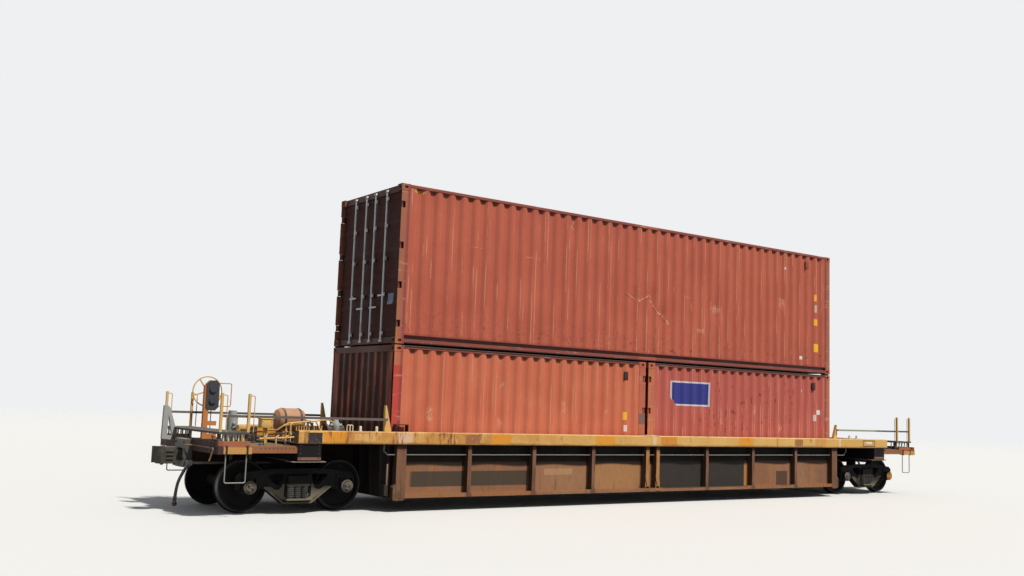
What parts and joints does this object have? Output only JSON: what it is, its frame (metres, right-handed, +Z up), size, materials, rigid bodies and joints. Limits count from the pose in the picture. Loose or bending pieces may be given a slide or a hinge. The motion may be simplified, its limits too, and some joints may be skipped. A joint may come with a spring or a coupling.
{
  "type": "double-stack well car with containers",
  "caption": "Railway well car, a flatcar with a sunken floor between two trucks, carrying corrugated steel containers stacked in two layers; the wheels turn and the upper container's doors open.",
  "frame": {"origin": "middle of the car on the plane that the wheel flanges touch", "axes": "+X along the car, away from the hand brake end; +Y across, towards the side with the hand brake wheel; +Z up"},
  "size_m": [19.5892, 2.98, 5.831],
  "materials": {
    "chord_paint": "weathered satin",
    "side_paint": "weathered satin",
    "sill_paint": "weathered satin",
    "post_paint": "weathered satin",
    "yellow_paint": "weathered satin",
    "grey_paint": "satin",
    "box40_paint": "weathered satin",
    "box20_paint": "weathered satin",
    "door_paint": "weathered satin",
    "cast_steel": "matt",
    "wheel_steel": "matt, bright tread",
    "plywood": "matt",
    "hose_rubber": "matt"
  },
  "bodies": {
    "car": {"top_chords": "chord_paint", "side_sheets": "side_paint", "side_posts": "post_paint", "bottom_sills": "side_paint", "floor_beams": "side_paint", "end_bulkheads": "side_paint", "deck_plates": "side_paint", "draft_sills": "side_paint", "body_bolsters": "side_paint", "platform_frames": "sill_paint", "walkways": "grey_paint", "sill_steps": "grey_paint", "grab_posts": "yellow_paint", "handbrake_stand": "post_paint", "handbrake_wheel": "yellow_paint", "air_reservoir": "chord_paint", "brake_cylinder": "side_paint", "control_valve": "grey_paint", "train_pipes": "grey_paint", "container_guides": "chord_paint", "hand_rails": "side_paint", "uncoupling_levers": "yellow_paint", "end_stand": "grey_paint", "box_connectors": "cast_steel", "box40_posts": "box40_paint", "box40_rails": "box40_paint", "box40_walls": "box40_paint", "box40_roof": "box40_paint", "box40_floor": "plywood", "box20_posts": "box20_paint", "box20_rails": "box20_paint", "box20_walls": "box20_paint", "box20_roofs": "box20_paint", "box20_floors": "plywood", "box20_doors": "box20_paint", "air_hose_a": "hose_rubber", "air_hose_b": "hose_rubber", "hose_couplings": "cast_steel"},
    "door_near": {"box40_door_near": "door_paint"},
    "door_far": {"box40_door_far": "door_paint"},
    "truck_b": {"truck_b_frames": "cast_steel", "truck_b_bolster": "cast_steel", "truck_b_springs": "cast_steel", "truck_b_bearings": "cast_steel", "truck_b_brake_beams": "cast_steel"},
    "wheelset_b1": {"wheelset_b1": "wheel_steel"},
    "wheelset_b2": {"wheelset_b2": "wheel_steel"},
    "coupler_b": {"coupler_b": "cast_steel"},
    "truck_a": {"truck_a_frames": "cast_steel", "truck_a_bolster": "cast_steel", "truck_a_springs": "cast_steel", "truck_a_bearings": "cast_steel", "truck_a_brake_beams": "cast_steel"},
    "wheelset_a1": {"wheelset_a1": "wheel_steel"},
    "wheelset_a2": {"wheelset_a2": "wheel_steel"},
    "coupler_a": {"coupler_a": "cast_steel"}
  },
  "joints": [
    {"name": "truck_b_swivel", "type": "hinge", "parent": "car", "child": "truck_b", "pos_m": [-7.727, 0, 0.68], "axis": [0, 0, 1], "range_deg": [-4, 4]},
    {"name": "wheelset_b1_roll", "type": "hinge", "parent": "truck_b", "child": "wheelset_b1", "pos_m": [-8.5905, 0, 0.444], "axis": [0, 1, 0], "continuous": true},
    {"name": "wheelset_b2_roll", "type": "hinge", "parent": "truck_b", "child": "wheelset_b2", "pos_m": [-6.8635, 0, 0.444], "axis": [0, 1, 0], "continuous": true},
    {"name": "coupler_b_swing", "type": "hinge", "parent": "car", "child": "coupler_b", "pos_m": [-9, 0, 0.901], "axis": [0, 0, 1], "range_deg": [-7, 7]},
    {"name": "truck_a_swivel", "type": "hinge", "parent": "car", "child": "truck_a", "pos_m": [7.727, 0, 0.68], "axis": [0, 0, 1], "range_deg": [-4, 4]},
    {"name": "wheelset_a1_roll", "type": "hinge", "parent": "truck_a", "child": "wheelset_a1", "pos_m": [6.8635, 0, 0.444], "axis": [0, 1, 0], "continuous": true},
    {"name": "wheelset_a2_roll", "type": "hinge", "parent": "truck_a", "child": "wheelset_a2", "pos_m": [8.5905, 0, 0.444], "axis": [0, 1, 0], "continuous": true},
    {"name": "coupler_a_swing", "type": "hinge", "parent": "car", "child": "coupler_a", "pos_m": [9, 0, 0.901], "axis": [0, 0, 1], "range_deg": [-7, 7]},
    {"name": "door_near_hinge", "type": "hinge", "parent": "car", "child": "door_near", "pos_m": [-6.074, -1.197, 3], "axis": [0, 0, 1], "range_deg": [0, 265]},
    {"name": "door_far_hinge", "type": "hinge", "parent": "car", "child": "door_far", "pos_m": [-6.074, 1.197, 3], "axis": [0, 0, -1], "range_deg": [0, 265]}
  ]
}
